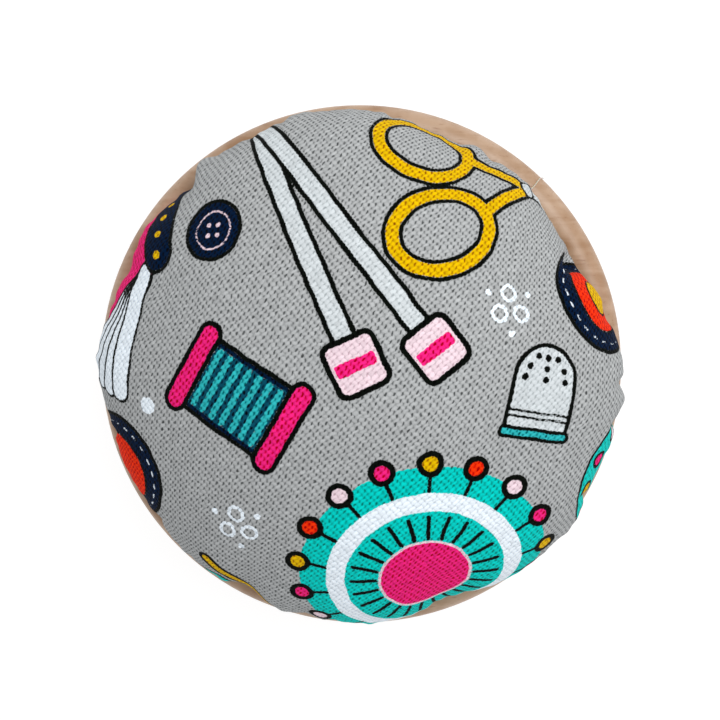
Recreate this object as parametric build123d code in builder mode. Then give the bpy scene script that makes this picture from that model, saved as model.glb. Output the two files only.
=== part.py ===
from build123d import *
from math import cos, hypot, radians, sin
import os

# Pin cushion: a firm dome of printed canvas, stuffed and gathered under a card
# disc, glued into a shallow turned wooden dish with a felt pad under its foot.
# The origin is at the centre of the felt's underside, and +Z points up through
# the crown of the dome. All sizes are in millimetres.

# Dish
dish_diameter = 72.0
dish_height = 18.0
foot_diameter = 56.0
lip_radius = 2.4            # half-round lip, so the wall is twice this thick
seat_floor = 8.0            # top of the solid wood under the cushion
seat_corner_radius = 2.5
edge_break = 0.4            # softened edge of the foot

# Felt pad
pad_diameter = 50.0
pad_thickness = 1.5
pad_stand_out = 0.6         # the felt carries the dish this far off the table
pad_edge_radius = 0.35

# Cushion
cushion_diameter = 68.4     # at its widest, which bulges over the lip
belly_height = 22.5         # height of that widest line
crown_height = 44.8
haunch_radius = 14.0        # from the belly to the shoulder of the dome
hem_corner_radius = 2.2     # where the canvas turns under the card
hem_opening = 22.0          # ring of card left bare by the gathered hem
canvas_thickness = 0.6
card_thickness = 1.5
card_diameter = 57.0
clearance = 0.05            # between soft layers, so that they never overlap
canvas_to_lip = 0.15        # gap between the canvas and the wood round the lip

# Thread and glue
glue_thickness = 1.2        # between the seat floor and the hem
glue_outer_diameter = 54.0
glue_inner_diameter = 32.0
thread_diameter = 0.6
thread_ring_diameter = 27.0
knot_diameter = 1.1
strand_diameter = 0.24      # a pulled thread of glue left lying over the lip
strand_bearing = 46.0       # degrees from +X
strand_sweep = 105.0        # degrees of the half-round that it follows

# Worked out from those
dish_radius = dish_diameter / 2
lip_centre_r = dish_radius - lip_radius
lip_centre_z = dish_height - lip_radius
seat_radius = dish_radius - 2 * lip_radius
cushion_bottom = seat_floor + glue_thickness
cushion_radius = cushion_diameter / 2
card_bottom = cushion_bottom + canvas_thickness + clearance
stuffing_bottom = card_bottom + card_thickness + clearance

# The dome's section is four arcs, each tangent to the next: a bend round the lip,
# the bulge above it, the haunch from the belly to the shoulder, and the crown
bend_radius = lip_radius + canvas_to_lip
across = cushion_radius - lip_centre_r
up = belly_height - lip_centre_z
bulge_radius = (across**2 + up**2 - bend_radius**2) / (2 * (across + bend_radius))
bulge_centre_r = cushion_radius - bulge_radius
haunch_centre_r = cushion_radius - haunch_radius
rise = crown_height - belly_height
crown_radius = (haunch_centre_r**2 + rise**2 - haunch_radius**2) / (
    2 * (rise - haunch_radius)
)
crown_centre_z = crown_height - crown_radius


def cushion_outline(inset, bottom):
    """Half the cushion's section, this far inside the canvas's outer face, closed
    along the axis. Below the lip it runs straight down the seat wall and turns
    under the card."""
    bend = bend_radius + inset
    bend_span = hypot(bulge_centre_r - lip_centre_r, up)
    waist = (
        lip_centre_r + bend * (bulge_centre_r - lip_centre_r) / bend_span,
        lip_centre_z + bend * up / bend_span,
    )
    crown = crown_radius - inset
    crown_span = crown_radius - haunch_radius
    shoulder = (
        crown * haunch_centre_r / crown_span,
        crown_centre_z + crown * (belly_height - crown_centre_z) / crown_span,
    )
    side_r = lip_centre_r - bend
    corner = hem_corner_radius - inset
    belly = (cushion_radius - inset, belly_height)
    top = (0, crown_height - inset)
    Line((0, bottom), (side_r - corner, bottom))
    TangentArc((side_r - corner, bottom), (side_r, bottom + corner), tangent=(1, 0))
    Line((side_r, bottom + corner), (side_r, lip_centre_z))
    TangentArc((side_r, lip_centre_z), waist, tangent=(0, 1))
    TangentArc(belly, waist, tangent=(0, -1))
    TangentArc(belly, shoulder, tangent=(0, 1))
    TangentArc(top, shoulder, tangent=(1, 0))
    Line(top, (0, bottom))


# Turned wooden dish: foot, bowl side, half-round lip, seat and a shallow
# recess for the felt
with BuildPart() as wood_base:
    with BuildSketch(Plane.XZ):
        with BuildLine():
            foot = (foot_diameter / 2, pad_stand_out)
            belly = (dish_radius, lip_centre_z)
            inner = (seat_radius, lip_centre_z)
            Line((0, pad_stand_out), foot)
            TangentArc(belly, foot, tangent=(0, -1))
            TangentArc(belly, inner, tangent=(0, 1))
            Line(inner, (seat_radius, seat_floor + seat_corner_radius))
            TangentArc(
                (seat_radius, seat_floor + seat_corner_radius),
                (seat_radius - seat_corner_radius, seat_floor),
                tangent=(0, -1),
            )
            Line((seat_radius - seat_corner_radius, seat_floor), (0, seat_floor))
            Line((0, seat_floor), (0, pad_stand_out))
        make_face()
    revolve(axis=Axis.Z)
    with BuildSketch(Plane.XY.offset(pad_stand_out)):
        Circle(pad_diameter / 2 + clearance)
    extrude(amount=pad_thickness - pad_stand_out, mode=Mode.SUBTRACT)
    foot_edges = wood_base.edges().group_by(Axis.Z)[0]
    fillet(foot_edges, radius=edge_break)
wood_base.part.label = "wood_base"

# Felt pad glued into the recess
with BuildPart() as base_pad:
    with BuildSketch():
        Circle(pad_diameter / 2)
    extrude(amount=pad_thickness)
    fillet(base_pad.edges().group_by(Axis.Z)[0], radius=pad_edge_radius)
base_pad.part.label = "base_pad"

# Bead of hot-melt glue that holds the cushion in the seat
with BuildPart() as seat_glue:
    with BuildSketch(Plane.XY.offset(seat_floor)):
        Circle(glue_outer_diameter / 2)
        Circle(glue_inner_diameter / 2, mode=Mode.SUBTRACT)
    extrude(amount=glue_thickness)
seat_glue.part.label = "seat_glue"

# Canvas cover: a shell round the whole cushion, open in the middle of its
# underside where the gathered hem stops
with BuildPart() as fabric_cover:
    with BuildSketch(Plane.XZ):
        with BuildLine():
            cushion_outline(0, cushion_bottom)
        make_face()
        with BuildLine():
            cushion_outline(canvas_thickness, cushion_bottom + canvas_thickness)
        make_face(mode=Mode.SUBTRACT)
        with Locations((hem_opening / 4, cushion_bottom)):
            Rectangle(hem_opening / 2, 2 * canvas_thickness, mode=Mode.SUBTRACT)
    revolve(axis=Axis.Z)
fabric_cover.part.label = "fabric_cover"

# Card disc that flattens the underside
with BuildPart() as cushion_card:
    with BuildSketch(Plane.XY.offset(card_bottom)):
        Circle(card_diameter / 2)
    extrude(amount=card_thickness)
cushion_card.part.label = "cushion_card"

# Fibre filling, over the card and inside the canvas
with BuildPart() as stuffing:
    with BuildSketch(Plane.XZ):
        with BuildLine():
            cushion_outline(canvas_thickness + clearance, card_bottom)
        make_face()
        with Locations((cushion_radius / 2, stuffing_bottom)):
            Rectangle(
                cushion_radius,
                2 * (card_thickness + clearance),
                align=(Align.CENTER, Align.MAX),
                mode=Mode.SUBTRACT,
            )
    revolve(axis=Axis.Z)
stuffing.part.label = "stuffing"

# Gathering thread: a drawn-up ring of running stitch under the hem, tied off
# in a small knot on its inner side
with BuildPart() as gathering_thread:
    thread_height = cushion_bottom - clearance - thread_diameter / 2
    with BuildSketch(Plane.XZ):
        with Locations((thread_ring_diameter / 2, thread_height)):
            Circle(thread_diameter / 2)
    revolve(axis=Axis.Z)
    knot_height = cushion_bottom - clearance - knot_diameter / 2
    with Locations((-(thread_ring_diameter - thread_diameter) / 2, 0, knot_height)):
        Sphere(knot_diameter / 2)
gathering_thread.part.label = "gathering_thread"

# Pulled strand of glue lying over the lip, a part-ring round the lip's centre
strand_plane = Plane(
    origin=(
        lip_centre_r * cos(radians(strand_bearing)),
        lip_centre_r * sin(radians(strand_bearing)),
        lip_centre_z,
    ),
    x_dir=(cos(radians(strand_bearing)), sin(radians(strand_bearing)), 0),
    z_dir=(0, 0, 1),
)
with BuildPart(strand_plane) as glue_strand:
    strand_reach = lip_radius + (strand_diameter + clearance) / 2
    with BuildSketch(strand_plane):
        with Locations((strand_reach, 0)):
            Circle(strand_diameter / 2)
    revolve(
        axis=Axis(strand_plane.origin, -strand_plane.y_dir), revolution_arc=strand_sweep
    )
glue_strand.part.label = "glue_strand"

os.makedirs("parts", exist_ok=True)
for piece in (
    wood_base,
    base_pad,
    seat_glue,
    fabric_cover,
    cushion_card,
    stuffing,
    gathering_thread,
    glue_strand,
):
    export_step(piece.part, f"parts/{piece.part.label}.step")
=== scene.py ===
import math

import bpy
import numpy as np
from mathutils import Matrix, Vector


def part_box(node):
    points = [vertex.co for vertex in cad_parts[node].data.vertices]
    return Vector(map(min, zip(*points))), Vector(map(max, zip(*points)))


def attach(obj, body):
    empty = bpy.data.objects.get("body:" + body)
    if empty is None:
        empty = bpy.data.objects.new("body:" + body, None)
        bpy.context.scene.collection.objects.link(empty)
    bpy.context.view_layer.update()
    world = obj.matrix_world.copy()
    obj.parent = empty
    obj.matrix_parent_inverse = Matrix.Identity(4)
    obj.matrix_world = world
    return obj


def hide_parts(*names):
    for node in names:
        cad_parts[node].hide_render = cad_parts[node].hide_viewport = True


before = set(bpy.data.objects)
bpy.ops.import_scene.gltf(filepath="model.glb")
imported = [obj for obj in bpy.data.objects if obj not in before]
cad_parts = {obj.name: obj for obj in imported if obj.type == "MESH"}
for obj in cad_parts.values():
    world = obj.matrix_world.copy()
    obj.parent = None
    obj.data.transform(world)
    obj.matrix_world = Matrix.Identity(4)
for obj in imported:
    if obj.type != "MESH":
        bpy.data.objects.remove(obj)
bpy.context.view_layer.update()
print("frame loaded:", ", ".join(sorted(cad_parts)))

mm = 0.001                      # every size below is in millimetres


def boxInMm(node):
    low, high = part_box(node)
    return low / mm, high / mm


coverLow, coverHigh = boxInMm("fabric_cover")
dishLow, dishHigh = boxInMm("wood_base")
padLow, padHigh = boxInMm("base_pad")
glueLow, glueHigh = boxInMm("seat_glue")
threadLow, threadHigh = boxInMm("gathering_thread")


# small tools: colours, nodes, meshes

def linearColour(hexValue):
    parts = [int(hexValue[i:i + 2], 16) / 255 for i in (1, 3, 5)]
    return tuple(p / 12.92 if p <= 0.04045 else ((p + 0.055) / 1.055) ** 2.4 for p in parts) + (1.0,)


def addNode(tree, kind, *values, out=0, **settings):
    # adds a node and gives back one of its outputs. The kind may name an operation too, as in "Math ADD".
    # Values fill the inputs in order, or a dictionary says which; a socket among them is linked.
    kind, _, operation = kind.partition(" ")
    node = tree.nodes.new("ShaderNode" + kind)
    if operation:
        node.operation = operation
    for name, value in settings.items():
        setattr(node, name, value)
    inputs = values[0] if values and isinstance(values[0], dict) else dict(enumerate(values))
    for socket, value in inputs.items():
        if isinstance(value, bpy.types.NodeSocket):
            tree.links.new(value, node.inputs[socket])
        else:
            node.inputs[socket].default_value = value
    return node.outputs[out]


def newMaterial(name, **shaderInputs):
    material = bpy.data.materials.new(name)
    material.use_nodes = True
    shader = material.node_tree.nodes["Principled BSDF"]
    for socket, value in shaderInputs.items():
        shader.inputs[socket.replace("_", " ")].default_value = value
    return material, material.node_tree, shader


def finishSurface(tree, shader, colour, relief, reliefHeight, strength=1.0):
    # gives the shader its colour, and a relief of so many millimetres
    tree.links.new(colour, shader.inputs["Base Color"])
    bump = addNode(tree, "Bump", {"Height": relief, "Distance": reliefHeight * mm, "Strength": strength})
    tree.links.new(bump, shader.inputs["Normal"])


def ringFaces(start, count, nextStart, nextCount):
    # faces from one ring of points to the next, where the next may have twice or half as many
    faces = []
    if nextCount == count:
        for i in range(count):
            j = (i + 1) % count
            faces.append((start + i, nextStart + i, nextStart + j, start + j))
    elif nextCount == 2 * count:
        for i in range(count):
            j = (i + 1) % count
            a, b, c = (nextStart + (2 * i + k) % nextCount for k in range(3))
            faces += [(start + i, a, b), (start + i, b, start + j), (start + j, b, c)]
    else:
        for i in range(nextCount):
            j = (i + 1) % nextCount
            a, b, c = (start + (2 * i + k) % count for k in range(3))
            faces += [(a, nextStart + i, b), (b, nextStart + i, nextStart + j), (b, nextStart + j, c)]
    return faces


def skinFaces(counts, closedTop=True, closedEnd=True):
    # rings in order, with a single point before the first and after the last where they are closed
    faces, start = [], 1 if closedTop else 0
    if closedTop:
        faces += [(0, start + i, start + (i + 1) % counts[0]) for i in range(counts[0])]
    for count, following in zip(counts, counts[1:]):
        faces += ringFaces(start, count, start + count, following)
        start += count
    if closedEnd:
        end = start + counts[-1]
        faces += [(start + i, end, start + (i + 1) % counts[-1]) for i in range(counts[-1])]
    return faces


def addPiece(name, points, faces, material, slot, *replaced):
    mesh = bpy.data.meshes.new(name)
    mesh.from_pydata([tuple(p) for p in np.asarray(points) * mm], [], faces)
    mesh.polygons.foreach_set("use_smooth", [True] * len(mesh.polygons))
    mesh.materials.append(material)
    mesh.update()
    piece = bpy.data.objects.new(name, mesh)
    bpy.context.scene.collection.objects.link(piece)
    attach(piece, "root")
    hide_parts(*replaced)
    return piece


def smoothRise(value, low, high):
    k = np.clip((value - low) / (high - low), 0, 1)
    return k * k * (3 - 2 * k)


def bearings(count):
    return np.arange(count) * 2 * math.pi / count


def ripple(bearing, waves, seed):
    # an uneven wave round the cushion, about -1 to 1, that closes on itself
    draw = np.random.default_rng(seed)
    total = np.zeros_like(bearing)
    for k in waves:
        total += draw.uniform(0.5, 1) * np.sin(k * bearing + draw.uniform(0, 2 * math.pi))
    return total / (0.75 * math.sqrt(len(waves)) * 1.4)


# camera, first because the rest is judged through it

cameraPlan = {
    "leanFromVertical": 6.5,    # degrees
    "leanTowards": 65.0,        # bearing from +X towards +Y, degrees
    "distance": 300.0,
    "focalLength": 109.15,      # on a 36 mm wide sensor
    "targetX": 0.11,
    "targetY": 1.17,
}


def addCamera():
    lean, towards = math.radians(cameraPlan["leanFromVertical"]), math.radians(cameraPlan["leanTowards"])
    back = Vector((math.sin(lean) * math.cos(towards), math.sin(lean) * math.sin(towards), math.cos(lean)))
    target = Vector((cameraPlan["targetX"], cameraPlan["targetY"], dishHigh.z))
    up = (Vector((0, 1, 0)) - back * back.y).normalized()
    right = up.cross(back)
    data = bpy.data.cameras.new("camera")
    data.lens = cameraPlan["focalLength"]
    data.sensor_width = 36
    data.clip_start, data.clip_end = 0.01, 100
    camera = bpy.data.objects.new("camera", data)
    camera.location = (target + back * cameraPlan["distance"]) * mm
    turn = camera.matrix_world.to_3x3()
    turn.col[0], turn.col[1], turn.col[2] = right, up, back
    camera.rotation_euler = turn.to_euler()
    bpy.context.scene.collection.objects.link(camera)
    bpy.context.scene.camera = camera


addCamera()
print("camera placed")


# the cushion's form

cushion = {
    "haunchRadius": 14.0,       # from the widest line up to the shoulder
    "bellyHeight": 22.5,        # height of the widest line
    "lipRadius": 2.4,           # of the dish, round which the canvas bends
    "lipGap": 0.15,
    "hemCornerRadius": 2.2,
    "hemOpening": 22.0,
    "canvasThickness": 0.6,
    "swellFrom": 20.0,          # along the cloth from the crown, where the swells start
    "swellTo": 42.0,
    # where the hand stuffing stands out or is pulled in round the widest line:
    # bearing and half-width in degrees, and how far out
    "swells": [
        (95, 14, 1.2), (120, 9, 0.5), (176, 13, 1.0), (322, 14, 1.0), (350, 12, 1.8),
        (27, 4, -2.0), (38, 5, -1.4), (67, 5, -0.8), (136, 5, -0.5), (153.5, 3, -1.1),
        (215, 16, -0.5), (243, 4, -1.4), (257, 3, -0.5), (291, 7, -1.5), (35, 4, -0.3),
        (341, 8, -0.75), (146, 5, 0.45), (164, 4, -0.5), (189, 4, -0.35), (284, 4, 0.4),
    ],
    # puckers and pleats, which start further down
    "puckersFrom": 36.5,        # along the cloth from the crown
    "puckers": [
        (2, 2.6, 0.6), (7.5, 1.8, 0.45), (14, 1.6, -0.2), (27.5, 1.7, -1.5), (57.5, 2.2, -0.35),
        (62.5, 1.6, 0.7), (75, 3.5, -0.4), (82, 1.2, -0.25), (103, 2.2, 0.45), (115, 4.5, -0.35),
        (126.5, 1.8, 0.9), (131.5, 1.4, -0.8), (152.5, 1.7, 0.6), (176.5, 0.9, 0.3),
        (193.5, 0.9, -0.8), (210, 1.4, -0.35), (216, 0.9, -0.8), (224, 4, 0.25), (237, 1.2, 0.4),
        (253, 2.6, 0.25), (259, 1.0, -0.3), (265, 1.0, -0.5), (273, 1.0, 0.3), (325.5, 3.2, 0.5),
        (332, 0.9, -0.5), (337, 1.0, -0.2), (345, 1.1, 0.2), (349.5, 1.5, -0.5), (354.5, 1.5, 0.4),
        (358.5, 0.9, -0.5),
    ],
    "fineRumples": 0.11,        # of the edge all round
    "lumps": 0.14,              # unevenness of the fibre under the canvas
}


def arcPoints(centre, radius, start, end, step=0.1):
    count = max(2, int(abs(end - start) * radius / step))
    turn = np.linspace(start, end, count)
    return np.stack([centre[0] + radius * np.cos(turn), centre[1] + radius * np.sin(turn)], -1)


def cushionSection():
    # half the section as radius and height from the crown to the hem, as tangent arcs
    c = cushion
    radius, crown, bottom = coverHigh.x, coverHigh.z, coverLow.z
    lipX, lipZ = dishHigh.x - c["lipRadius"], dishHigh.z - c["lipRadius"]
    bend = c["lipRadius"] + c["lipGap"]
    across, up = radius - lipX, c["bellyHeight"] - lipZ
    bulge = (across ** 2 + up ** 2 - bend ** 2) / (2 * (across + bend))
    bulgeX = radius - bulge
    haunchX = radius - c["haunchRadius"]
    rise = crown - c["bellyHeight"]
    crownRadius = (haunchX ** 2 + rise ** 2 - c["haunchRadius"] ** 2) / (2 * (rise - c["haunchRadius"]))
    crownZ = crown - crownRadius
    shoulder = math.atan2(c["bellyHeight"] - crownZ, haunchX)
    waist = math.atan2(up, bulgeX - lipX)
    wall, corner = lipX - bend, c["hemCornerRadius"]
    parts = [
        arcPoints((0, crownZ), crownRadius, math.pi / 2, shoulder),
        arcPoints((haunchX, c["bellyHeight"]), c["haunchRadius"], shoulder, 0),
        arcPoints((bulgeX, c["bellyHeight"]), bulge, 0, waist - math.pi),
        arcPoints((lipX, lipZ), bend, waist, math.pi),
        arcPoints((wall - corner, bottom + corner), corner, 0, -math.pi / 2),
        np.array([[c["hemOpening"] / 2, bottom]]),
    ]
    line = np.concatenate(parts)
    keep = np.r_[True, np.hypot(*np.diff(line, axis=0).T) > 1e-6]
    return line[keep]


sectionLine = cushionSection()
sectionLength = np.r_[0, np.cumsum(np.hypot(*np.diff(sectionLine, axis=0).T))]
clothRadius = sectionLength[-1]                     # of the circle that the cover is cut from
bellyAt = np.interp(0, -sectionLine[:, 1] + cushion["bellyHeight"], sectionLength)
waistAt = sectionLength[np.argmax((sectionLine[:, 1] < dishHigh.z + 0.3))]
print(f"cover cut from a circle {2 * clothRadius:.0f} mm across")


def sectionAt(along):
    tangent = np.gradient(sectionLine, sectionLength, axis=0)
    tangent /= np.linalg.norm(tangent, axis=1)[:, None]
    r, z, tr, tz = (np.interp(along, sectionLength, column) for column in (*sectionLine.T, *tangent.T))
    return r, z, -tz, tr                            # the outward normal is across the tangent


def standOut(bearing, bumps):
    total = np.zeros_like(bearing)
    for at, halfWidth, out in bumps:
        off = (np.degrees(bearing) - at + 180) % 360 - 180
        total += out * np.exp(-0.5 * (off / halfWidth) ** 2)
    return total


def formPoint(along, bearing, inset=0.0, out=0.0):
    # a point of the cover before its gathers: inset is towards the filling, out is away from it
    r, z, nr, nz = sectionAt(along)
    puckers = standOut(bearing, cushion["puckers"]) + cushion["fineRumples"] * ripple(bearing,
                                                                                      range(47, 110, 6), 8)
    over = standOut(bearing, cushion["swells"]) * smoothRise(along, cushion["swellFrom"],
                                                             cushion["swellTo"])
    over = over + puckers * smoothRise(along, cushion["puckersFrom"], bellyAt - 2)
    over = over * (1 - smoothRise(along, bellyAt + 0.4, waistAt))
    x, y = along * np.cos(bearing), along * np.sin(bearing)
    lumps = np.sin(0.29 * x + 1.3 * np.sin(0.17 * y)) + np.sin(0.33 * y + 1.1 * np.sin(0.21 * x) + 2)
    lumps = lumps * (1 - smoothRise(along, bellyAt - 6, bellyAt))
    push = out - inset + cushion["lumps"] * lumps / 2
    r, z = r + over + nr * push, z + nz * push
    return np.stack([r * np.cos(bearing), r * np.sin(bearing), z], -1)


# the gathers, by cloth simulation of the band from the shoulder to the tuck

gathers = {
    "from": 22.0,               # along the cloth from the crown
    "to": 51.0,
    "fadeIn": 6.0,              # length over which they grow
    "fadeFrom": 50.0,           # where they die out under the lip
    "fadeTo": 52.0,
    "ringStep": 0.8,
    "sectors": 320,
    "spare": 0.05,              # cloth to spare round the tuck, as a share of its length
    "modelScale": 20.0,         # simulated at the size of a seat cushion, which the springs suit
    "frames": 20,
    "pressure": 4.0,
    "outMost": 0.9,             # caps on how far a point may move
    "inMost": 0.45,
    "evenedOut": 0.8,           # share of each ring's mean movement that is left out
}


def simulateGathers():
    g = gathers
    rings = np.arange(g["from"], g["to"] + 0.01, g["ringStep"])
    turn = bearings(g["sectors"])
    along, bearing = (a.ravel() for a in np.meshgrid(rings, turn, indexing="ij"))
    seeds = 0.05 * ripple(bearing, range(31, 75, 4), 3) * smoothRise(along, 30, 44)
    form = formPoint(along, bearing, out=seeds)
    r, z, nr, nz = sectionAt(rings)
    wide = r * (1 + g["spare"] * smoothRise(rings, 26, bellyAt + 3))
    drop = np.sqrt(np.maximum(g["ringStep"] ** 2 - np.diff(wide) ** 2, 0))
    cutZ = z[0] - np.r_[0, np.cumsum(drop)]
    cut = np.stack([np.repeat(wide, g["sectors"]) * np.cos(bearing),
                    np.repeat(wide, g["sectors"]) * np.sin(bearing),
                    np.repeat(cutZ, g["sectors"])], -1)
    scale = g["modelScale"] * mm
    mesh = bpy.data.meshes.new("gatherBand")
    mesh.from_pydata([tuple(p) for p in form * scale], [],
                     skinFaces([g["sectors"]] * len(rings), closedTop=False, closedEnd=False))
    band = bpy.data.objects.new("gatherBand", mesh)
    bpy.context.scene.collection.objects.link(band)
    band.shape_key_add(name="asSewn")
    asCut = band.shape_key_add(name="asCut")
    asCut.data.foreach_set("co", (cut * scale).ravel().astype(np.float32))
    held = band.vertex_groups.new(name="held")
    held.add([int(i) for i in np.flatnonzero((along < rings[1] + 0.1) | (along > rings[-2] - 0.1))], 1.0,
             "REPLACE")
    cloth = band.modifiers.new("cloth", "CLOTH")
    s = cloth.settings
    s.quality = 8
    s.mass = 0.2
    s.tension_stiffness = s.compression_stiffness = 40
    s.shear_stiffness = 6
    s.bending_stiffness = 0.4
    s.rest_shape_key = asCut
    s.vertex_group_mass = "held"
    s.use_pressure = True
    s.uniform_pressure_force = g["pressure"]
    s.effector_weights.gravity = 0
    cloth.point_cache.frame_start, cloth.point_cache.frame_end = 1, g["frames"]
    for step in range(1, g["frames"] + 1):
        bpy.context.scene.frame_set(step)
    evaluated = band.evaluated_get(bpy.context.evaluated_depsgraph_get())
    moved = np.empty(len(along) * 3, np.float32)
    evaluated.data.vertices.foreach_get("co", moved)
    bpy.context.scene.frame_set(1)
    bpy.data.objects.remove(band)
    bpy.data.meshes.remove(mesh)
    shift = moved.reshape(-1, 3) / scale - form
    normal = np.stack([np.repeat(nr, g["sectors"]) * np.cos(bearing),
                       np.repeat(nr, g["sectors"]) * np.sin(bearing),
                       np.repeat(nz, g["sectors"])], -1)
    out = (shift * normal).sum(-1).reshape(len(rings), g["sectors"])
    print(f"gathers simulated: moved {out.min():.2f} to {out.max():.2f} mm")
    out = out + seeds.reshape(out.shape)
    # the stuffing holds the form, so most of what a whole ring moved by is left out
    even = out.mean(axis=1, keepdims=True)
    return rings, np.clip(out - g["evenedOut"] * even, -g["inMost"], g["outMost"])


gatherRings, gatherShift = simulateGathers()


def between(values, place, wrap):
    # Catmull-Rom reading of the first axis of values at fractional places
    count = len(values)
    base = np.floor(place).astype(int)
    t = (place - base).reshape((-1,) + (1,) * (values.ndim - 1))
    index = [(base + k) % count if wrap else np.clip(base + k, 0, count - 1) for k in (-1, 0, 1, 2)]
    a, b, c, d = (values[i] for i in index)
    return b + 0.5 * t * (c - a + t * (2 * a - 5 * b + 4 * c - d + t * (3 * (b - c) + d - a)))


def gatherAt(along, count):
    # how far the gathers stand out, on one ring of the cover
    place = np.array([(along - gatherRings[0]) / gathers["ringStep"]])
    ring = between(gatherShift, np.clip(place, 0, len(gatherRings) - 1), False)[0]
    fade = smoothRise(along, gatherRings[0], gatherRings[0] + gathers["fadeIn"])
    fade = fade * (1 - smoothRise(along, gathers["fadeFrom"], gathers["fadeTo"]))
    return fade * between(ring, np.arange(count) * gathers["sectors"] / count, True)


def coverRing(along, count, inset=0.0):
    bearing = bearings(count)
    out = gatherAt(along, count) if gatherRings[0] < along < gathers["fadeTo"] else 0.0
    return formPoint(np.full(count, along), bearing, inset, out)


# the print, as plain shapes on the flat cloth: x and y in mm from the crown

def ringPlan():
    # ring places along the cloth with the points in each: fine where the cloth shows
    fine = [(s, 160) for s in np.arange(0.3, 8, 0.28)]
    fine += [(s, 320) for s in np.arange(8.1, 18, 0.28)]
    fine += [(s, 640) for s in np.arange(18.1, 42, 0.28)]
    fine += [(s, 640) for s in np.arange(42.2, 51.5, 0.4)]
    fine += [(s, 320) for s in np.arange(52.2, 56, 0.9)]
    hidden = [(s, 160) for s in np.arange(57, clothRadius - 0.5, 1.1)] + [(clothRadius, 160)]
    return fine + hidden


outerRings = ringPlan()
innerRings = [(s, 160) for s in np.arange(clothRadius, 2.5, -2.0)]
flatParts = [np.zeros((1, 2))]
for along, count in outerRings:
    turn = bearings(count)
    flatParts.append(np.stack([along * np.cos(turn), along * np.sin(turn)], -1))
flatCloth = np.concatenate(flatParts)

drawing = {
    "wobble": 0.07,             # unevenness of hand-cut edges
    "line": 0.62,               # usual width of the dark outline
    "printedTo": 53.0,          # radius of the cloth that carries ink
    "trap": 0.12,               # how far one ink runs under its neighbour
}
inked = np.hypot(*flatCloth.T) < drawing["printedTo"]


def handWobble(x, y):
    dx = np.sin(1.9 * y + 2.0 * np.sin(0.7 * x)) + np.sin(1.1 * x + 4.1 * np.sin(0.31 * y))
    dy = np.sin(1.7 * x + 2.0 * np.sin(0.9 * y)) + np.sin(1.3 * y + 3.3 * np.sin(0.37 * x))
    return x + drawing["wobble"] * dx / 2, y + drawing["wobble"] * dy / 2


clothX, clothY = handWobble(*flatCloth[inked].T)
inks = ("chalk", "white", "palePink", "yellow", "red", "magenta", "teal", "navy", "deepTeal", "yarn",
        "outline")
farAway = 3.0
screens = {ink: np.full(len(clothX), farAway) for ink in inks}


def local(x, y, turn=0.0):
    c, s = math.cos(math.radians(turn)), math.sin(math.radians(turn))
    dx, dy = clothX - x, clothY - y
    return dx * c + dy * s, dy * c - dx * s


def disc(x, y, radius):
    return np.hypot(clothX - x, clothY - y) - radius


def oval(x, y, halfWide, halfHigh, turn=0.0):
    dx, dy = local(x, y, turn)
    scaled = np.hypot(dx / halfWide, dy / halfHigh)
    slope = np.hypot(dx / halfWide ** 2, dy / halfHigh ** 2)
    return scaled * (scaled - 1) / np.maximum(slope, 1e-6)


def block(x, y, wide, high, turn=0.0, corner=0.8):
    dx, dy = local(x, y, turn)
    qx, qy = np.abs(dx) - wide / 2 + corner, np.abs(dy) - high / 2 + corner
    return np.hypot(np.maximum(qx, 0), np.maximum(qy, 0)) + np.minimum(np.maximum(qx, qy), 0) - corner


def curveThrough(points, finer=6):
    points = np.array(points, float)
    if len(points) < 3:
        return points
    return between(points, np.arange((len(points) - 1) * finer + 1) / finer, False)


def segmentDistance(line):
    nearest = np.full(len(clothX), 1e9)
    for (ax, ay), (bx, by) in zip(line, line[1:]):
        ux, uy = bx - ax, by - ay
        share = np.clip(((clothX - ax) * ux + (clothY - ay) * uy) / max(ux * ux + uy * uy, 1e-9), 0, 1)
        nearest = np.minimum(nearest, (clothX - ax - share * ux) ** 2 + (clothY - ay - share * uy) ** 2)
    return np.sqrt(nearest)


def stroke(points, width):
    return segmentDistance(curveThrough(points)) - width / 2


def ringOf(shape, width):
    return np.abs(shape) - width / 2


def printInk(ink, shape):
    # lays an ink and cuts it out of those under it
    for other in inks:
        if other == ink:
            screens[other] = np.minimum(screens[other], shape)
        else:
            trap = drawing["trap"] if other != "outline" else 0.0
            screens[other] = np.maximum(screens[other], -shape - trap)


def motif(ink, shape, line=None):
    printInk(ink, shape)
    printInk("outline", ringOf(shape, line or drawing["line"]))


def spots(x, y, turn, places):
    # places given along and across a turned motif, as x and y on the cloth
    c, s = math.cos(math.radians(turn)), math.sin(math.radians(turn))
    return [(x + a * c - b * s, y + a * s + b * c) for a, b in places]


def drawButton():
    # plain four-hole button
    x, y = -19.5, 21.3
    motif("navy", disc(x, y, 4.3), 0.55)
    printInk("palePink", ringOf(disc(x, y, 2.75), 0.5))
    for hole in spots(x, y, 45, [(1.1, 0), (-1.1, 0), (0, 1.1), (0, -1.1)]):
        printInk("palePink", disc(*hole, 0.5))


def drawTongs():
    # two straight flat legs that meet at the top, with a banded sleeve on each tip
    topX, topY = -16.8, 41.5
    sleeves = ((0.9, 3.3), (11.1, 5.3))
    for x, y in sleeves:
        motif("chalk", stroke([(topX, topY), (x, y)], 2.95), 0.64)
    for x, y in sleeves:
        turn = math.degrees(math.atan2(y - topY, x - topX)) + 90
        motif("palePink", block(x, y, 6.9, 7.0, turn, 1.2), 0.76)
        printInk("magenta", block(x, y, 5.4, 1.7, turn, 0.3))


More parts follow.
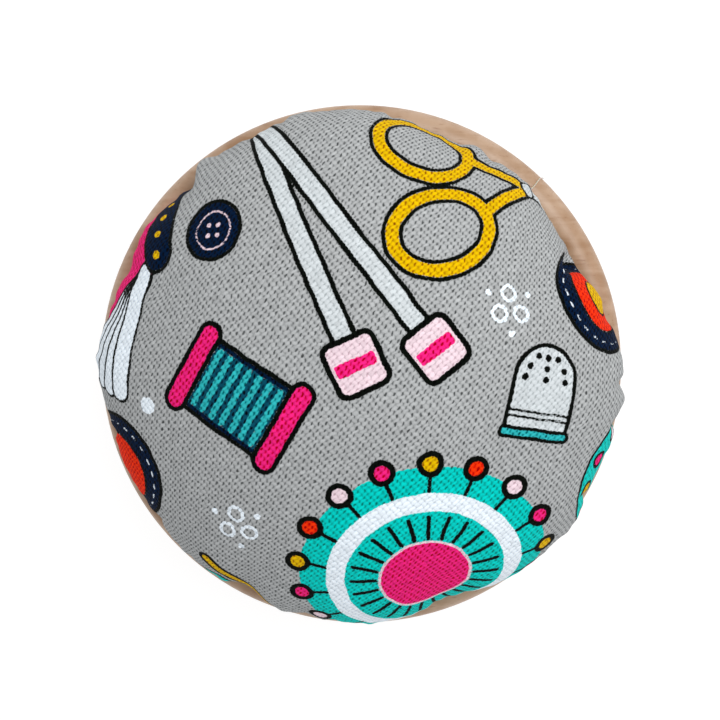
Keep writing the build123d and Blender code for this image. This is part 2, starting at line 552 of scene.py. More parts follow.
def drawShears():
    # even loops and shanks either side of a pivot, and the start of the blades
    x, y, turn = 27.6, 30.0, 7.4
    for tip in (2.6, -2.6):
        motif("chalk", stroke(spots(x, y, turn, [(0, 0), (14, tip)]), 2.6), 0.5)
    metal = np.full(len(clothX), farAway)
    for side in (1, -1):
        loop = spots(x, y, turn, [(-16.4, side * 6.9)])[0]
        shank = spots(x, y, turn, [(-9.9, side * 4.9), (-6.0, side * 2.6), (-1.6, side * 0.8)])
        metal = np.minimum(metal, ringOf(oval(*loop, 7.0, 5.4, turn - side * 14), 2.35))
        metal = np.minimum(metal, stroke(shank, 2.2))
    printInk("outline", metal - 0.29)
    printInk("yellow", metal + 0.27)
    motif("chalk", disc(x, y, 1.5), 0.45)


def drawSpool():
    # a straight barrel of thread between two equal flanges
    x, y, turn = -14.9, -1.3, -31
    motif("navy", block(x, y, 13.0, 10.6, turn, 0.3))
    printInk("deepTeal", block(x, y, 11.2, 9.0, turn, 0.3))
    for along in np.linspace(-4.8, 4.8, 7):
        printInk("yarn", stroke(spots(x, y, turn, [(along, -4.0), (along, 4.0)]), 0.85))
    for flange in spots(x, y, turn, [(-7.4, 0), (7.4, 0)]):
        motif("magenta", block(*flange, 3.0, 13.2, turn, 1.4), 0.66)


def drawThimble():
    x, y, turn = 25.5, -2.6, -12
    crown = spots(x, y, turn, [(0, 3.6)])[0]
    motif("chalk", np.minimum(block(x, y, 9.0, 7.8, turn, 0.5), disc(*crown, 4.5)), 0.6)
    rows = [(across, up) for up, wide in ((6.4, 1.5), (4.9, 2.6), (3.4, 3.0)) for across in (-wide, 0,
                                                                                             wide)]
    for dimple in spots(x, y, turn, rows):
        printInk("outline", disc(*dimple, 0.48))
    for up in (-1.2, -2.0):
        printInk("outline", stroke(spots(x, y, turn, [(-4.3, up), (4.3, up)]), 0.34))
    rim = spots(x, y, turn, [(0, -4.2)])[0]
    motif("yarn", block(*rim, 10.0, 1.3, turn, 0.5), 0.5)


def drawPinWheel():
    # a round pin holder: rings, even spokes, and a pin at every twenty degrees
    x, y = 10.4, -28.0
    printInk("teal", disc(x, y, 18.0))
    printInk("white", disc(x, y, 14.3))
    printInk("teal", disc(x, y, 11.5))
    for spoke in range(24):
        printInk("outline", stroke(spots(x, y, spoke * 15, [(7.1, 0), (10.6, 0)]), 0.6))
    printInk("palePink", disc(x, y, 6.9))
    printInk("magenta", disc(x, y, 6.4))
    for pin in range(18):
        start, end, head = spots(x, y, pin * 20 + 10, [(14.4, 0), (17, 0), (18.3, 0)])
        printInk("outline", stroke([start, end], 0.55))
        motif(("yellow", "magenta", "palePink", "red")[pin % 4], disc(*head, 1.44), 0.8)


def dashes(shape, x, y, count, width):
    # running stitches along a shape's edge, by bearing from a middle
    around = np.sin(count * np.arctan2(clothY - y, clothX - x))
    reach = np.hypot(clothX - x, clothY - y) / count
    return np.maximum(ringOf(shape, width), -around * reach - 0.12)


def drawCoveredButtons():
    # layered round buttons with a band of stitches, half over the edge
    for x, y, middle in ((-37.2, -14.6, "red"), (39.3, 12.8, "yellow")):
        motif("navy", disc(x, y, 8.9))
        motif("red", disc(x, y, 5.8), 0.4)
        if middle != "red":
            motif(middle, disc(x, y, 3.0), 0.4)
        printInk("white", dashes(disc(x, y, 7.6), x, y, 23, 0.5))


def drawSkein():
    # a tassel of floss: straight strands, a dark label with dots, and pink loops beyond
    motif("magenta", oval(-38.0, 21.0, 8.6, 13.5, 12), 0.45)
    for k in range(5):
        motif("white", stroke(spots(-31.4, 15.6, 230 + 8 * k, [(0, 0), (17.5, 0)]), 3.2), 0.42)
    x, y, turn = -29.8, 24.6, 10
    motif("navy", block(x, y, 5.0, 18.0, turn, 2.4), 0.55)
    for dot in spots(x, y, turn, [(0, up) for up in (-6.6, -3.3, 0, 3.3, 6.6)]):
        printInk("yellow", disc(*dot, 0.75))


def drawTape():
    # a rolled tape end at the lower left, and plain round motifs further down the sides
    motif("teal", oval(-24.9, -36.4, 4.0, 5.2, -35))
    motif("yellow", stroke([(-22.5, -27.3), (-14.6, -38.0)], 1.9))
    x, y = 45.4, -17.4
    motif("teal", disc(x, y, 12.0), 0.5)
    for k, ink in enumerate(("palePink", "magenta", "yellow", "red", "yellow")):
        motif(ink, disc(*spots(x, y, 120 + 30 * k, [(9.6, 0)])[0], 1.25), 0.6)
    printInk("white", ringOf(disc(x, y, 6.0), 1.4))
    motif("navy", disc(3.0, 47.5, 3.0))
    printInk("palePink", ringOf(disc(3.0, 47.5, 1.8), 0.4))
    motif("yellow", block(-36.0, -32.5, 5.2, 3.2, -38, 1.0))
    motif("red", disc(47.5, 0.6, 2.2))
    printInk("palePink", disc(47.5, 0.6, 1.0))


def drawBubbles():
    for x, y in ((21.5, 10.8), (-15.8, -19.6)):
        for k in range(3):
            printInk("white", ringOf(disc(*spots(x, y, 90 + 120 * k, [(1.9, 0)])[0], 1.05), 0.5))
            printInk("white", disc(*spots(x, y, 30 + 120 * k, [(3.7, 0)])[0], 0.5))
    printInk("white", disc(-28.8, -3.4, 1.2))


for draw in (drawSkein, drawCoveredButtons, drawTape, drawTongs, drawShears, drawButton, drawSpool,
             drawThimble, drawPinWheel, drawBubbles):
    draw()
print("print drawn in", len(inks), "inks")


# canvas: cotton-linen plain weave, screen printed with pigment inks

canvas = {
    # the cover is cut on the bias, so the warp runs at 42 degrees
    "warpPitch": 0.588,         # 43 warp yarns to the inch
    "warpAcross": 132.0,        # bearing across the warp
    "weftPitch": 0.805,         # 32 thicker weft yarns to the inch
    "weftAcross": 41.0,
    "warpFill": 0.93,           # share of its pitch that a yarn fills
    "weftFill": 0.88,
    "stray": 0.36,              # how far a yarn wanders from its line, in mm
    "slotLong": 0.27,           # half-length and half-width of the open slots between the yarns, in mm
    "slotWide": 0.15,
    "slotLean": 0.385,
    "slotTurns": 0.28,
    "yarnStand": 0.10,          # how far a yarn stands over the gaps
    "gapShadeDepth": 1.0,            # how much darker the painted shade in the gaps makes a colour
    "groundColour": "#b2b4b4",
    # share of the gaps that an ink's paste fills, which takes painted shade out of them; thin dyes sink in
    # and leave more painted shade there
    "paste": {"chalk": 0.62, "white": 0.68, "palePink": 0.62, "magenta": -0.6, "red": -0.6},
    "gapShade": 0.3,            # how much darker the gaps are, whatever the ink
    "inkColours": {
        "chalk": "#cfd5d7", "white": "#eff8ff", "palePink": "#ecd4dc", "yellow": "#e7ba00",
        "red": "#ff3605", "magenta": "#ff2686", "teal": "#00d2c8", "navy": "#001835",
        "deepTeal": "#054a5f", "yarn": "#30b8bc", "outline": "#070c07",
    },
}


def printedCanvas():
    # matt pigment on soft yarn: the eye sees little round yarns with dark gaps, given as painted shade
    # in the gaps and on the yarns' sides, with painted light on their crests, and printed edges that step
    # from yarn to yarn
    material, tree, shader = newMaterial("cottonLinenCanvasScreenPrinted", Roughness=0.92, IOR=1.46,
                                         Specular_IOR_Level=0.05, Sheen_Weight=0.02, Sheen_Roughness=0.5)
    c = canvas
    flat = addNode(tree, "Attribute", attribute_name="flatCloth", out="Vector")
    drift = addNode(tree, "TexNoise", {"Vector": flat, "Scale": 0.35, "Detail": 2.0}, out="Color")
    drift = addNode(tree, "VectorMath SUBTRACT", drift, (0.5, 0.5, 0.5))
    drift = addNode(tree, "VectorMath SCALE", {0: drift, "Scale": 0.7})
    stray = addNode(tree, "TexNoise", {"Vector": flat, "Scale": 1.6, "Detail": 1.0}, out="Color")
    stray = addNode(tree, "VectorMath SUBTRACT", stray, (0.5, 0.5, 0.5))
    drift = addNode(tree, "VectorMath MULTIPLY_ADD", stray, (c["stray"],) * 3, drift)
    laid = addNode(tree, "VectorMath ADD", flat, drift)
    places = []
    for across, pitch in ((c["warpAcross"], c["warpPitch"]), (c["weftAcross"], c["weftPitch"])):
        direction = Vector((math.cos(math.radians(across)), math.sin(math.radians(across)), 0)) / pitch
        places.append(addNode(tree, "VectorMath DOT_PRODUCT", laid, direction, out="Value"))
    # open slots where four yarns meet, leaning with the yarns' twist, which take painted shade
    offWarp, offWeft = (addNode(tree, "Math SUBTRACT",
                                addNode(tree, "Math FRACT", addNode(tree, "Math ADD", place, 0.5)), 0.5)
                        for place in places)
    leaning = addNode(tree, "Math MULTIPLY_ADD", offWeft, -c["slotLean"] * c["weftPitch"] / c["warpPitch"],
                      offWarp)
    slot = addNode(tree, "CombineXYZ", addNode(tree, "Math MULTIPLY", leaning,
                                               c["warpPitch"] / c["slotWide"]),
                   addNode(tree, "Math MULTIPLY", offWeft, c["weftPitch"] / c["slotLong"]))
    slot = addNode(tree, "VectorMath LENGTH", slot, out="Value")
    yarns = []
    for place, fill in zip(places, (c["warpFill"], c["weftFill"])):
        number = addNode(tree, "Math FLOOR", place)
        side = addNode(tree, "Math PINGPONG", addNode(tree, "Math FRACT", place), 0.5)
        fromEdge = addNode(tree, "Math DIVIDE", addNode(tree, "Math SUBTRACT", side, (1 - fill) / 2), fill,
                           use_clamp=True)
        rounded = addNode(tree, "Math SQRT", addNode(tree, "Math SINE",
                                                     addNode(tree, "Math MULTIPLY", fromEdge, math.pi)))
        yarns.append((place, number, rounded))
    (u, warpNumber, warpRound), (v, weftNumber, weftRound) = yarns
    heights = []
    for roundness, place, number, sign in ((warpRound, v, warpNumber, 0.5),
                                           (weftRound, u, weftNumber, -0.5)):
        wave = addNode(tree, "Math SINE", addNode(tree, "Math MULTIPLY",
                                                  addNode(tree, "Math ADD", place, number), math.pi))
        over = addNode(tree, "Math MULTIPLY_ADD", wave, sign, 0.5)
        heights.append(addNode(tree, "Math MULTIPLY", roundness, over))
    warpOnTop = addNode(tree, "Math GREATER_THAN", *heights)
    height = addNode(tree, "Math MAXIMUM", *heights)
    # slubs: each yarn has its own tone, and so have lengths of it
    slubs = []
    for number, along in ((warpNumber, v), (weftNumber, u)):
        spot = addNode(tree, "CombineXYZ", addNode(tree, "Math MULTIPLY", number, 7.31),
                       addNode(tree, "Math MULTIPLY", along, 0.45))
        slubs.append(addNode(tree, "TexNoise", {"Vector": spot, "Scale": 1.0, "Detail": 1.0}, out="Fac"))
    slub = addNode(tree, "Mix", {0: warpOnTop, 2: slubs[1], 3: slubs[0]}, data_type="FLOAT")
    fibres = addNode(tree, "TexNoise", {"Vector": flat, "Scale": 7.0, "Detail": 3.0}, out="Fac")
    # the inks: each screen holds the distance to its edge in mm, negative inside
    jitter = addNode(tree, "Math MULTIPLY", addNode(tree, "Math SUBTRACT", 0.62, height), 0.16)
    jitter = addNode(tree, "Math MULTIPLY_ADD", fibres, 0.16, jitter)
    jitter = addNode(tree, "Math SUBTRACT", jitter, 0.08)
    colour, paste = linearColour(c["groundColour"]), 0.0
    for ink in inks:
        edge = addNode(tree, "Attribute", attribute_name="ink_" + ink, out="Fac")
        reach = addNode(tree, "Math ADD", edge, jitter)
        cover = addNode(tree, "MapRange", {"Value": reach, "From Min": 0.05, "From Max": -0.05})
        colour = addNode(tree, "Mix", {0: cover, 6: colour, 7: linearColour(c["inkColours"][ink])},
                         data_type="RGBA", out=2)
        if ink in c["paste"]:
            paste = addNode(tree, "Math MULTIPLY_ADD", cover, c["paste"][ink], paste)
    # painted shade: light that goes down between the yarns meets the ink many times, so the gaps are
    # painted darker in colour
    slotShade = addNode(tree, "MapRange", {"Value": slot, "From Min": 1.25, "From Max": 0.5, "To Min": 0.0,
                                     "To Max": c["gapShadeDepth"]}, interpolation_type="SMOOTHSTEP")
    slotShadeStrength = addNode(tree, "TexNoise", {"Vector": flat, "Scale": 1.5, "Detail": 1.0}, out="Fac")
    slotShadeStrength = addNode(tree, "MapRange", {"Value": slotShadeStrength, "From Min": 0.3, "From Max": 0.7,
                                          "To Min": 0.25, "To Max": 1.2})
    # every other slot gets more painted shade, as the yarns lie over and under by turns
    turns = addNode(tree, "Math ADD", addNode(tree, "Math ROUND", places[0]),
                    addNode(tree, "Math ROUND", places[1]))
    turns = addNode(tree, "Math COSINE", addNode(tree, "Math MULTIPLY", turns, math.pi))
    slotShadeStrength = addNode(tree, "Math MULTIPLY_ADD", turns, c["slotTurns"], slotShadeStrength)
    slotShadeStrength = addNode(tree, "Math MULTIPLY", slotShadeStrength, addNode(tree, "Math SUBTRACT", 1.0, paste))
    gapShadeGamma = addNode(tree, "Math MULTIPLY_ADD", slotShade, slotShadeStrength, 1.0)
    colour = addNode(tree, "Gamma", colour, gapShadeGamma)
    filled = addNode(tree, "Math MULTIPLY_ADD", paste, 0.4, height)
    # painted shade down the yarns' sides and painted light on their crests, by how high each yarn stands
    # and how much paste fills it
    yarnShadeAndCrestLight = addNode(tree, "MapRange", {"Value": filled, "From Min": 0.3, "From Max": 0.9, "To Min": 0.83,
                                       "To Max": 1.07})
    tone = addNode(tree, "Math MULTIPLY_ADD", slub, 0.5, 0.73)
    tone = addNode(tree, "Math MULTIPLY_ADD", warpOnTop, 0.05, tone)
    tone = addNode(tree, "Math MULTIPLY", tone, addNode(tree, "Math MULTIPLY_ADD", fibres, 0.3, 0.85))
    # painted shade in the gaps, whatever the ink
    gapShadeFactor = addNode(tree, "Math MULTIPLY_ADD", gapShadeGamma, -c["gapShade"], 1 + c["gapShade"])
    shade = addNode(tree, "Math MULTIPLY", addNode(tree, "Math MULTIPLY", yarnShadeAndCrestLight, tone), gapShadeFactor)
    colour = addNode(tree, "Mix", {0: 1.0, 6: colour, 7: shade}, data_type="RGBA", blend_type="MULTIPLY",
                     out=2)
    relief = addNode(tree, "Math MULTIPLY_ADD", fibres, 0.25, height)
    finishSurface(tree, shader, colour, relief, c["yarnStand"])
    return material


def addCover():
    points, counts = [formPoint(np.zeros(1), np.zeros(1))], []
    for along, count in outerRings:
        points.append(coverRing(along, count))
        counts.append(count)
    for along, count in innerRings:
        points.append(coverRing(along, count, cushion["canvasThickness"]))
        counts.append(count)
    points.append(formPoint(np.zeros(1), np.zeros(1), cushion["canvasThickness"]))
    points = np.concatenate(points)
    piece = addPiece("canvas_cover", points, skinFaces(counts), printedCanvas(), "printed_canvas",
                     "fabric_cover")
    mesh = piece.data
    flat = np.zeros((len(points), 3), np.float32)
    flat[:len(flatCloth), :2] = flatCloth
    start = len(flatCloth)
    for along, count in innerRings:
        turn = bearings(count)
        flat[start:start + count, :2] = np.stack([along * np.cos(turn), along * np.sin(turn)], -1)
        start += count
    mesh.attributes.new("flatCloth", "FLOAT_VECTOR", "POINT").data.foreach_set("vector", flat.ravel())
    for ink in inks:
        values = np.full(len(points), farAway, np.float32)
        values[np.flatnonzero(inked)] = np.clip(screens[ink], -farAway, farAway)
        mesh.attributes.new("ink_" + ink, "FLOAT", "POINT").data.foreach_set("value", values)
    print("cover made:", len(mesh.polygons), "faces")
    return piece


coverPiece = addCover()


# what the cover holds and sits on

filling = {
    "inset": 0.78,              # under the canvas's outer face
    "tuft": 0.35,               # how deep the hollows between tufts of fibre go
    "rings": 54,
    "sectors": 160,
    "colour": "#eceae4",
}


def polyesterFilling():
    # crimped hollow fibre, carded and packed: soft white with fine wandering hairs and a slight sheen
    material, tree, shader = newMaterial("polyesterFibreCarded", Roughness=0.8, IOR=1.55, Sheen_Weight=0.4,
                                         Subsurface_Weight=0.15, Subsurface_Scale=0.002)
    place = addNode(tree, "TexCoord", out="Object")
    tufts = addNode(tree, "TexNoise", {"Vector": place, "Scale": 260.0, "Detail": 4.0, "Distortion": 1.5},
                    out="Fac")
    hairs = addNode(tree, "TexWave", {"Vector": place, "Scale": 700.0, "Distortion": 14.0, "Detail": 3.0,
                                      "Detail Scale": 0.4}, out="Fac")
    tone = addNode(tree, "Mix", {0: tufts, 6: linearColour("#d8d5cc"), 7: linearColour(filling["colour"])},
                   data_type="RGBA", out=2)
    relief = addNode(tree, "Math MULTIPLY_ADD", hairs, 0.4, tufts)
    finishSurface(tree, shader, tone, relief, 0.4)
    return material


def addFilling():
    f = filling
    cardTop = boxInMm("cushion_card")[1].z + 0.05
    lastAlong = np.interp(-cardTop - 0.05, -sectionLine[:, 1], sectionLength)
    count = f["sectors"]
    turn = bearings(count)
    rings = []
    for along in np.linspace(0.9, lastAlong, f["rings"]):
        x, y = along * np.cos(turn), along * np.sin(turn)
        tuft = np.sin(1.1 * x + 2 * np.sin(0.8 * y)) * np.sin(1.3 * y + 2 * np.sin(0.7 * x + 1))
        rings.append(coverRing(along, count, f["inset"] + f["tuft"] * (0.5 + 0.5 * tuft)))
    edge = rings[-1]
    for share in (0.93, 0.7, 0.45, 0.2):            # the flat underside that lies on the card
        x, y = edge[:, 0] * share, edge[:, 1] * share
        rings.append(np.stack([x, y, np.full(count, cardTop) + 0.03 * np.sin(2 * x) * np.sin(2 * y) + 0.03],
                              -1))
    top = formPoint(np.zeros(1), np.zeros(1), f["inset"] + 0.5 * f["tuft"])
    points = np.concatenate([top, *rings, [[0, 0, cardTop + 0.03]]])
    piece = addPiece("fibre_filling", points, skinFaces([count] * len(rings)), polyesterFilling(),
                     "fibre_filling", "stuffing")


addFilling()

feltPad = {
    "edgeRadius": 0.45,
    "nap": 0.05,                # how far the surface wanders
    "colour": "#9c8a76",
    "flecks": "#6f5e4c",
}


def needledFelt():
    # wool and viscose needled flat: matt, with short crossing fibres in two shades
    material, tree, shader = newMaterial("woolFeltNeedled", Roughness=0.95, IOR=1.5, Sheen_Weight=0.35,
                                         Sheen_Roughness=0.6, Specular_IOR_Level=0.15)
    place = addNode(tree, "TexCoord", out="Object")
    mixed = addNode(tree, "TexNoise", {"Vector": place, "Scale": 900.0, "Detail": 5.0, "Distortion": 2.0},
                    out="Fac")
    fleck = addNode(tree, "TexWave", {"Vector": place, "Scale": 500.0, "Distortion": 30.0, "Detail": 4.0},
                    out="Fac")
    blend = addNode(tree, "MapRange", {"Value": addNode(tree, "Math MULTIPLY", mixed, fleck),
                                       "From Min": 0.08, "From Max": 0.5})
    colour = addNode(tree, "Mix", {0: blend, 6: linearColour(feltPad["flecks"]),
                                   7: linearColour(feltPad["colour"])}, data_type="RGBA", out=2)
    finishSurface(tree, shader, colour, mixed, 0.25)
    return material


def addFeltPad():
    radius, top, edge = padHigh.x, padHigh.z, feltPad["edgeRadius"]
    count = 240
    turn = bearings(count)
    profile = [(r, top) for r in np.linspace(1, radius - edge, 24)]
    profile += [(radius - edge + edge * math.sin(a), top - edge + edge * math.cos(a)) for a in (0.5, 1.0,
                                                                                                1.57)]
    profile += [(radius - edge + edge * math.sin(a), edge + edge * math.cos(a)) for a in (1.57, 2.1, 2.6,
                                                                                          3.14)]
    profile += [(r, 0) for r in np.linspace(radius - edge - 0.5, 1, 24)]
    draw = np.random.default_rng(11)
    rings = []
    for r, z in profile:
        loose = draw.uniform(-1, 1, count) * feltPad["nap"]
        wander = r + (loose if r > radius - 2 * edge else 0) - feltPad["nap"]
        lift = (np.abs(loose) if z < top / 2 else -np.abs(loose))
        rings.append(np.stack([wander * np.cos(turn), wander * np.sin(turn), np.full(count, z) + lift], -1))
    points = np.concatenate([[[0, 0, top]], *rings, [[0, 0, 0]]])
    piece = addPiece("felt_pad", points, skinFaces([count] * len(rings)), needledFelt(), "felt", "base_pad")


addFeltPad()

glue = {
    "colour": "#f1e6d6",
    "strandBearing": 46.0,
    "strandWidth": 0.27,        # where it leaves the cushion
    "strandEnd": 0.13,
    "strandFrom": -8.0,         # degrees round the lip, from level with its centre outside
    "strandTo": 132.0,
}


def hotMeltGlue():
    # EVA set from the melt: cloudy, slightly amber, with a wet-looking skin
    material, tree, shader = newMaterial("evaHotMeltGlueSet", Roughness=0.22, IOR=1.48,
                                         Transmission_Weight=0.35,
                                         Subsurface_Weight=0.3, Subsurface_Scale=0.001)
    place = addNode(tree, "TexCoord", out="Object")
    cloud = addNode(tree, "TexNoise", {"Vector": place, "Scale": 400.0, "Detail": 2.0}, out="Fac")
    colour = addNode(tree, "Mix", {0: cloud, 6: linearColour("#e6d3ba"), 7: linearColour(glue["colour"])},
                     data_type="RGBA", out=2)
    finishSurface(tree, shader, colour, cloud, 0.08, 0.6)
    return material


glueMaterial = hotMeltGlue()


def tubePoints(path, radii, around, shape=None):
    # rings of points about a path of (n, 3), each with its own radius
    tangents = np.gradient(path, axis=0)
    tangents /= np.linalg.norm(tangents, axis=1)[:, None]
    side = np.cross(tangents, (0.0, 0.0, 1.0) if abs(tangents[:, 2]).max() < 0.9 else (0.31, -0.3, 0.0))
    side /= np.linalg.norm(side, axis=1)[:, None]
    above = np.cross(side, tangents)
    turn = bearings(around)
    rings = []
    for k, (point, radius) in enumerate(zip(path, radii)):
        wide = radius * (shape(turn, k) if shape else np.ones(around))
        rings.append(point + np.outer(wide * np.cos(turn), side[k]) + np.outer(wide * np.sin(turn),
                                                                               above[k]))
    return rings


def addSeatGlue():
    # one bead run round the seat, squeezed flat between the wood and the hem, thick and thin by turns
    outer, inner = glueHigh.x, boxInMm("gathering_thread")[1].x + 2.2
    middle, half, thick = (outer + inner) / 2, (outer - inner) / 2, glueHigh.z - glueLow.z
    count = 192
    turn = bearings(count)
    wide = half * (0.86 + 0.10 * ripple(turn, (5, 9, 14, 23), 21))
    centre = middle + 0.35 * ripple(turn, (3, 7, 11), 22)
    rings = []
    for a in np.linspace(0, 2 * math.pi, 20, endpoint=False):
        squarish = np.sign(math.sin(a)) * abs(math.sin(a)) ** 0.4
        r = centre + wide * math.cos(a)
        z = (glueLow.z + glueHigh.z) / 2 + squarish * thick / 2 * (0.97 + 0.03 * np.sin(9 * turn))
        rings.append(np.stack([r * np.cos(turn), r * np.sin(turn), z * np.ones(count)], -1))
    rings.reverse()
    faces = skinFaces([count] * len(rings), closedTop=False, closedEnd=False)
    faces += ringFaces((len(rings) - 1) * count, count, 0, count)
    addPiece("glue_bead", np.concatenate(rings), faces, glueMaterial, "hot_melt_glue", "seat_glue")


def addStrand():
    # pulled out as the gun left the cushion: thick where it starts, thin and slightly beaded at its end
    g = glue
    lip = cushion["lipRadius"]
    reach = lip + g["strandWidth"] / 2 + 0.02
    centre = np.array([dishHigh.x - lip, dishHigh.z - lip])
    turn = np.radians(np.linspace(g["strandTo"], g["strandFrom"], 44))
    share = np.linspace(0, 1, len(turn))
    out, up = centre[0] + reach * np.cos(turn), centre[1] + reach * np.sin(turn)
    sideways = 0.35 * np.sin(2.6 * share + 0.4) + 0.08 * np.sin(11 * share)
    bearing = math.radians(g["strandBearing"])
    path = np.stack([out * math.cos(bearing) - sideways * math.sin(bearing),
                     out * math.sin(bearing) + sideways * math.cos(bearing), up], -1)
    radii = (g["strandWidth"] + (g["strandEnd"] - g["strandWidth"]) * share) / 2
    radii = radii * (1 + 0.18 * np.sin(23 * share) * share)
    radii[-1] = radii[0] = 0.03
    rings = tubePoints(path, radii, 12)
    points = np.concatenate([path[:1], *rings, path[-1:]])
    addPiece("pulled_glue_strand", points, skinFaces([12] * len(rings)), glueMaterial, "hot_melt_glue",
             "glue_strand")


addSeatGlue()
addStrand()

thread = {
    "diameter": 0.56,
    "stitches": 22,
    "dip": 0.22,                # how far each stitch bows away from the hem
    "plies": 3,
    "colour": "#c3c4c2",
}


def polyesterThread():
    # three-ply spun polyester: matt, with the plies' slant showing as light and shade
    material, tree, shader = newMaterial("spunPolyesterThread", Roughness=0.65, IOR=1.55, Sheen_Weight=0.2)
    place = addNode(tree, "TexCoord", out="Object")
    fuzz = addNode(tree, "TexNoise", {"Vector": place, "Scale": 4000.0, "Detail": 2.0}, out="Fac")
    colour = addNode(tree, "Mix", {0: fuzz, 6: linearColour("#a5a6a4"), 7: linearColour(thread["colour"])},
                     data_type="RGBA", out=2)
    tree.links.new(colour, shader.inputs["Base Color"])
    return material


def addThread():
    t = thread
    radius = (threadHigh.x + threadHigh.y) / 4 - t["diameter"] / 2
    count = 660
    turn = bearings(count)
    height = threadHigh.z - t["diameter"] / 2 - t["dip"] * (0.5 + 0.5 * np.cos(t["stitches"] * turn))
    wander = radius - 0.1 + 0.1 * ripple(turn, (4, 9, 13), 31)
    path = np.stack([wander * np.cos(turn), wander * np.sin(turn), height], -1)

    def plied(around, k):
        return 0.84 + 0.16 * np.abs(np.cos(t["plies"] / 2 * (around - 0.42 * k)))

    rings = tubePoints(np.concatenate([path, path[:1]]), [t["diameter"] / 2] * (count + 1), 12, plied)[:-1]
    faces = skinFaces([12] * count, closedTop=False, closedEnd=False)
    faces += ringFaces((count - 1) * 12, 12, 0, 12)
    points = list(np.concatenate(rings))
    # the knot: two turns drawn tight, and a short tail
    knotTurn = np.linspace(0, 4.4 * math.pi, 120)
    knot = np.stack([-radius + 0.32 * np.cos(knotTurn), 0.28 * np.sin(knotTurn),
                     threadHigh.z - 0.5 + 0.16 * np.sin(knotTurn / 2.2)], -1)
    tail = knot[-1] + np.outer(np.linspace(0.05, 1, 24), (1.6, 0.7, -0.25))
    loop = np.concatenate([knot, tail])
    knotRings = tubePoints(loop, [t["diameter"] * 0.4] * len(loop), 10)
    start = len(points)
    points += [loop[0], *np.concatenate(knotRings), loop[-1]]
    faces += [tuple(i + start for i in face) for face in skinFaces([10] * len(knotRings))]
    addPiece("running_stitch", np.array(points), faces, polyesterThread(), "sewing_thread",
             "gathering_thread")


addThread()
print("filling, felt, glue and thread made")


# wood and card, which keep their CAD shapes

beech = {
    "colour": "#c0a084",
    "shade": "#a27b58",
    "flecks": "#94684a",
    "grainWidth": 0.9,          # of the bands of growth, seen side on
    "fleckLength": 2.2,         # of the ray flecks that tell beech
}


def turnedBeech():
    # even-grained beech, turned, sanded and sealed: warm tan with soft bands, tiny flecks and a satin skin
    material, tree, shader = newMaterial("beechTurnedSealed", Roughness=0.46, IOR=1.5, Coat_Weight=0.12,
                                         Coat_Roughness=0.35)
    b = beech
    place = addNode(tree, "TexCoord", out="Object")
    inMm = addNode(tree, "VectorMath SCALE", {0: place, "Scale": 1 / mm})
    along = addNode(tree, "Mapping", {"Vector": inMm, "Rotation": (0.06, 0.1, 0.5),
                                      "Scale": (0.05, 1 / b["grainWidth"], 0.35)})
    bands = addNode(tree, "TexNoise", {"Vector": along, "Scale": 0.55, "Detail": 3.0, "Distortion": 0.6},
                    out="Fac")
    mottle = addNode(tree, "TexNoise", {"Vector": inMm, "Scale": 0.2, "Detail": 3.0}, out="Fac")
    tone = addNode(tree, "Math MULTIPLY_ADD", bands, 0.4, addNode(tree, "Math MULTIPLY", mottle, 0.7))
    tone = addNode(tree, "MapRange", {"Value": tone, "From Min": 0.42, "From Max": 0.62})
    colour = addNode(tree, "Mix", {0: tone, 6: linearColour(b["shade"]), 7: linearColour(b["colour"])},
                     data_type="RGBA", out=2)
    fleckPlace = addNode(tree, "Mapping", {"Vector": inMm, "Rotation": (0.06, 0.1, 0.5),
                                           "Scale": (1 / b["fleckLength"], 5.0, 5.0)})
    fleck = addNode(tree, "TexNoise", {"Vector": fleckPlace, "Scale": 0.8, "Detail": 1.0}, out="Fac")
    fleck = addNode(tree, "MapRange", {"Value": fleck, "From Min": 0.66, "From Max": 0.76, "To Max": 0.55})
    colour = addNode(tree, "Mix", {0: fleck, 6: colour, 7: linearColour(b["flecks"])}, data_type="RGBA",
                     out=2)
    # faint rings left by the turning tool, about four to the millimetre
    x, y, z = addNode(tree, "SeparateXYZ", inMm).node.outputs
    flatPlace = addNode(tree, "CombineXYZ", x, y)
    radius = addNode(tree, "VectorMath LENGTH", flatPlace, out="Value")
    groove = addNode(tree, "Math SINE", addNode(tree, "Math MULTIPLY", addNode(tree, "Math ADD", radius, z),
                                                25.0))
    relief = addNode(tree, "Math MULTIPLY_ADD", groove, 0.12, fleck)
    finishSurface(tree, shader, colour, relief, 0.03, 0.5)
    return material


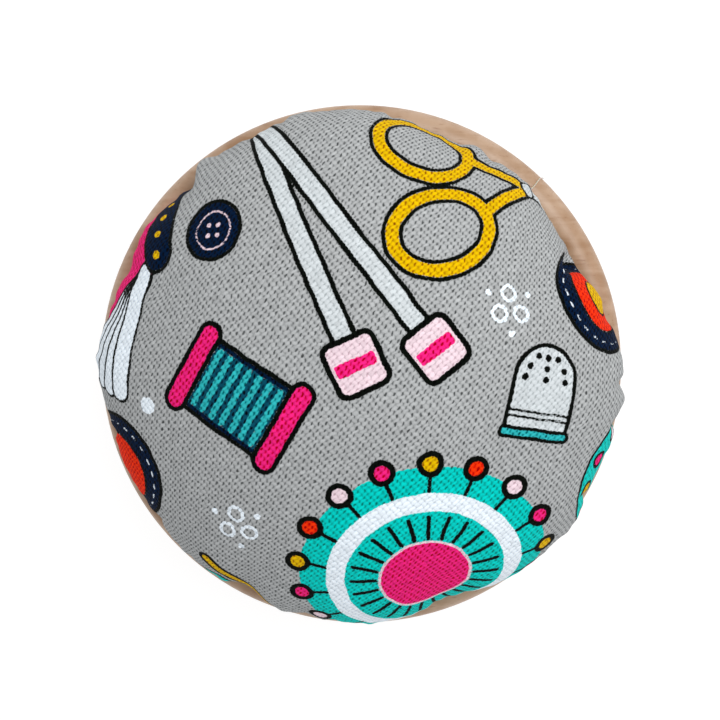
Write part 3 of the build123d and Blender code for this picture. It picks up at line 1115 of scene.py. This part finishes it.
def greyboard():
    # recycled board: dull grey-brown with specks of every paper that went in
    material, tree, shader = newMaterial("greyboardPressed", Roughness=0.9, IOR=1.5, Specular_IOR_Level=0.2)
    place = addNode(tree, "TexCoord", out="Object")
    pulp = addNode(tree, "TexNoise", {"Vector": place, "Scale": 900.0, "Detail": 4.0}, out="Fac")
    specks = addNode(tree, "TexVoronoi", {"Vector": place, "Scale": 1200.0}, out="Distance")
    speck = addNode(tree, "MapRange", {"Value": specks, "From Min": 0.22, "From Max": 0.1, "To Max": 0.5})
    colour = addNode(tree, "Mix", {0: pulp, 6: linearColour("#8f8a82"), 7: linearColour("#a9a49b")},
                     data_type="RGBA", out=2)
    colour = addNode(tree, "Mix", {0: speck, 6: colour, 7: linearColour("#5f5a54")}, data_type="RGBA",
                     out=2)
    finishSurface(tree, shader, colour, pulp, 0.05)
    return material


for node, material in (("wood_base", turnedBeech()), ("cushion_card", greyboard())):
    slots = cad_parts[node].data.materials
    if not slots:
        slots.append(material)
    for k in range(len(slots)):
        slots[k] = material
print("wood and card finished")


# floor and light

studio = {
    "skyStrength": 0.52,
    "keyPower": 1.0,           # watts
    "keySize": 260.0,
    "keyBearing": 48.0,
    "keyHeight": 64.0,          # degrees above the horizon
    "keyDistance": 420.0,
    "tableWidth": 40000.0,      # so wide that its edge never shows
}


def addStudio():
    scene = bpy.context.scene
    scene.view_settings.view_transform = "Standard"
    world = bpy.data.worlds.new("studioLight")
    world.use_nodes = True
    background = world.node_tree.nodes["Background"]
    background.inputs["Color"].default_value = linearColour("#fbfcff")
    background.inputs["Strength"].default_value = studio["skyStrength"]
    scene.world = world
    light = bpy.data.lights.new("softKey", "AREA")
    light.shape, light.size = "DISK", studio["keySize"] * mm
    light.energy = studio["keyPower"]
    lamp = bpy.data.objects.new("softKey", light)
    turn, rise = math.radians(studio["keyBearing"]), math.radians(studio["keyHeight"])
    away = Vector((math.cos(turn) * math.cos(rise), math.sin(turn) * math.cos(rise), math.sin(rise)))
    lamp.location = away * studio["keyDistance"] * mm
    lamp.rotation_euler = away.to_track_quat("Z", "Y").to_euler()
    scene.collection.objects.link(lamp)
    # white laminate table, lit from within so that it stays white round the dish
    material, tree, shader = newMaterial("whiteLaminateTop", Base_Color=linearColour("#7d7d7d"),
                                         Roughness=0.6,
                                         Emission_Color=(1, 1, 1, 1), Emission_Strength=0.88)
    half = studio["tableWidth"] / 2
    mesh = bpy.data.meshes.new("tableTop")
    mesh.from_pydata([(x * mm, y * mm, 0) for x,
                      y in ((-half, -half), (half, -half), (half, half), (-half, half))],
                     [], [(0, 1, 2, 3)])
    mesh.materials.append(material)
    floor = bpy.data.objects.new("tableTop", mesh)
    scene.collection.objects.link(floor)


addStudio()
print("studio lit")
